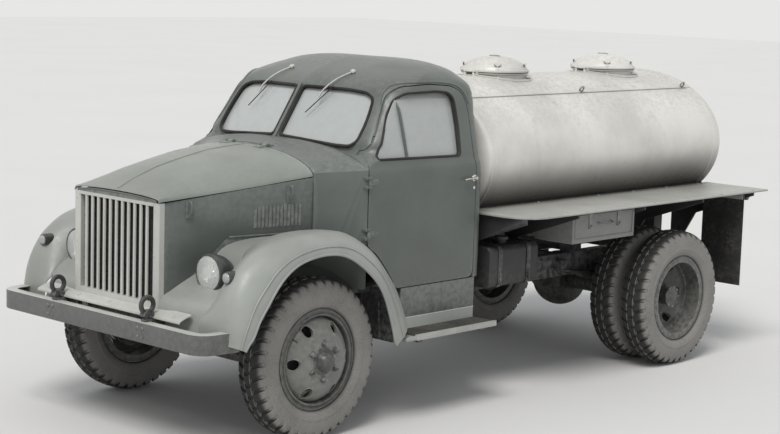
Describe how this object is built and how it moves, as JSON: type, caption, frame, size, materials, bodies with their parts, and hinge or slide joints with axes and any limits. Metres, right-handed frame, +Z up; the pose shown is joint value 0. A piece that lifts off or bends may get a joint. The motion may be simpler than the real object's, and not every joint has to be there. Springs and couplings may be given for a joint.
{
  "type": "tanker truck",
  "caption": "Bonneted two-axle light lorry with an elliptical milk tank, closed cab, opening doors, bonnet and tank hatches, steered front wheels and twin rear wheels.",
  "frame": {"origin": "centre of the whole truck's footprint box, on the ground under the wheels", "axes": "+X forward, +Y to the truck's left, +Z up"},
  "size_m": [5.25, 2.2, 2.1],
  "materials": {
    "cab_paint": "satin oil paint, dull",
    "wing_paint": "satin oil paint, dusty",
    "tank_paint": "satin light paint",
    "chassis_black": "matt black paint",
    "bumper_paint": "satin paint",
    "grille_paint": "satin paint",
    "wheel_paint": "satin paint",
    "engine_iron": "as cast, oily",
    "lamp_metal": "satin paint with glass front",
    "lamp_red": "moulded red lens",
    "glass": "clear sheet",
    "seat_cloth": "grained leathercloth",
    "black_plastic": "moulded",
    "board_rubber": "ribbed mat",
    "flap_rubber": "flat sheet",
    "tyre": "dusty"
  },
  "bodies": {
    "chassis": {"chassis_frame": "chassis_black", "front_bumper": "bumper_paint", "front_axle": "chassis_black", "rear_axle": "chassis_black", "leaf_springs": "chassis_black", "engine_block": "engine_iron", "radiator": "chassis_black", "grille": "grille_paint", "hood_sides": "cab_paint", "front_wings": "wing_paint", "headlamps": "lamp_metal", "cab_rear_wall": "cab_paint", "cab_roof": "cab_paint", "cab_cowl": "cab_paint", "cab_floor": "cab_paint", "cab_glass": "glass", "seat": "seat_cloth", "steering_wheel": "black_plastic", "running_boards": "wing_paint", "fuel_tank": "chassis_black", "tank_shell": "tank_paint", "tank_saddles": "chassis_black", "side_shelves": "wing_paint", "tool_box": "bumper_paint", "mudflaps": "flap_rubber", "tail_lamps": "lamp_red", "exhaust": "chassis_black"},
    "hood": {"hood": "cab_paint"},
    "door_left": {"door_left": "cab_paint", "door_glass_left": "glass"},
    "door_right": {"door_right": "cab_paint", "door_glass_right": "glass"},
    "hatch_front": {"hatch_lid_front": "tank_paint"},
    "hatch_rear": {"hatch_lid_rear": "tank_paint"},
    "knuckle_left": {"knuckle_left": "chassis_black"},
    "knuckle_right": {"knuckle_right": "chassis_black"},
    "tie_rod": {"tie_rod": "chassis_black"},
    "wheel_front_left": {"front_rim_left": "wheel_paint", "front_tyre_left": "tyre"},
    "wheel_front_right": {"front_rim_right": "wheel_paint", "front_tyre_right": "tyre"},
    "wheel_rear_left": {"rear_rims_left": "wheel_paint", "rear_tyres_left": "tyre"},
    "wheel_rear_right": {"rear_rims_right": "wheel_paint", "rear_tyres_right": "tyre"}
  },
  "joints": [
    {"name": "hood_hinge", "type": "hinge", "parent": "chassis", "child": "hood", "pos_m": [1.505, 0, 1.592], "axis": [0, -1, 0], "range_deg": [0, 50]},
    {"name": "door_left_hinge", "type": "hinge", "parent": "chassis", "child": "door_left", "pos_m": [1.278, 0.803, 1.27], "axis": [0, 0, -1], "range_deg": [0, 70]},
    {"name": "door_right_hinge", "type": "hinge", "parent": "chassis", "child": "door_right", "pos_m": [1.278, -0.803, 1.27], "axis": [0, 0, 1], "range_deg": [0, 70]},
    {"name": "hatch_front_hinge", "type": "hinge", "parent": "chassis", "child": "hatch_front", "pos_m": [-0.485, 0, 1.976], "axis": [0, 1, 0], "range_deg": [0, 95]},
    {"name": "hatch_rear_hinge", "type": "hinge", "parent": "chassis", "child": "hatch_rear", "pos_m": [-1.705, 0, 1.976], "axis": [0, 1, 0], "range_deg": [0, 95]},
    {"name": "steer_left", "type": "hinge", "parent": "chassis", "child": "knuckle_left", "pos_m": [1.737, 0.69, 0.462], "axis": [0, 0, 1], "range_deg": [-30, 30]},
    {"name": "steer_right", "type": "hinge", "parent": "chassis", "child": "knuckle_right", "pos_m": [1.737, -0.69, 0.462], "axis": [0, 0, 1], "range_deg": [-30, 30]},
    {"name": "tie_rod_joint", "type": "hinge", "parent": "knuckle_left", "child": "tie_rod", "pos_m": [1.557, 0.69, 0.374], "axis": [0, 0, 1], "range_deg": [-30, 30]},
    {"name": "spin_front_left", "type": "hinge", "parent": "knuckle_left", "child": "wheel_front_left", "pos_m": [1.737, 0.7925, 0.462], "axis": [0, 1, 0], "continuous": true},
    {"name": "spin_front_right", "type": "hinge", "parent": "knuckle_right", "child": "wheel_front_right", "pos_m": [1.737, -0.7925, 0.462], "axis": [0, 1, 0], "continuous": true},
    {"name": "spin_rear_left", "type": "hinge", "parent": "chassis", "child": "wheel_rear_left", "pos_m": [-1.563, 0.825, 0.462], "axis": [0, 1, 0], "continuous": true},
    {"name": "spin_rear_right", "type": "hinge", "parent": "chassis", "child": "wheel_rear_right", "pos_m": [-1.563, -0.825, 0.462], "axis": [0, 1, 0], "continuous": true}
  ],
  "couplings": [
    {"joint": "steer_right", "follows": "steer_left", "ratio": 1},
    {"joint": "tie_rod_joint", "follows": "steer_left", "ratio": -1}
  ]
}
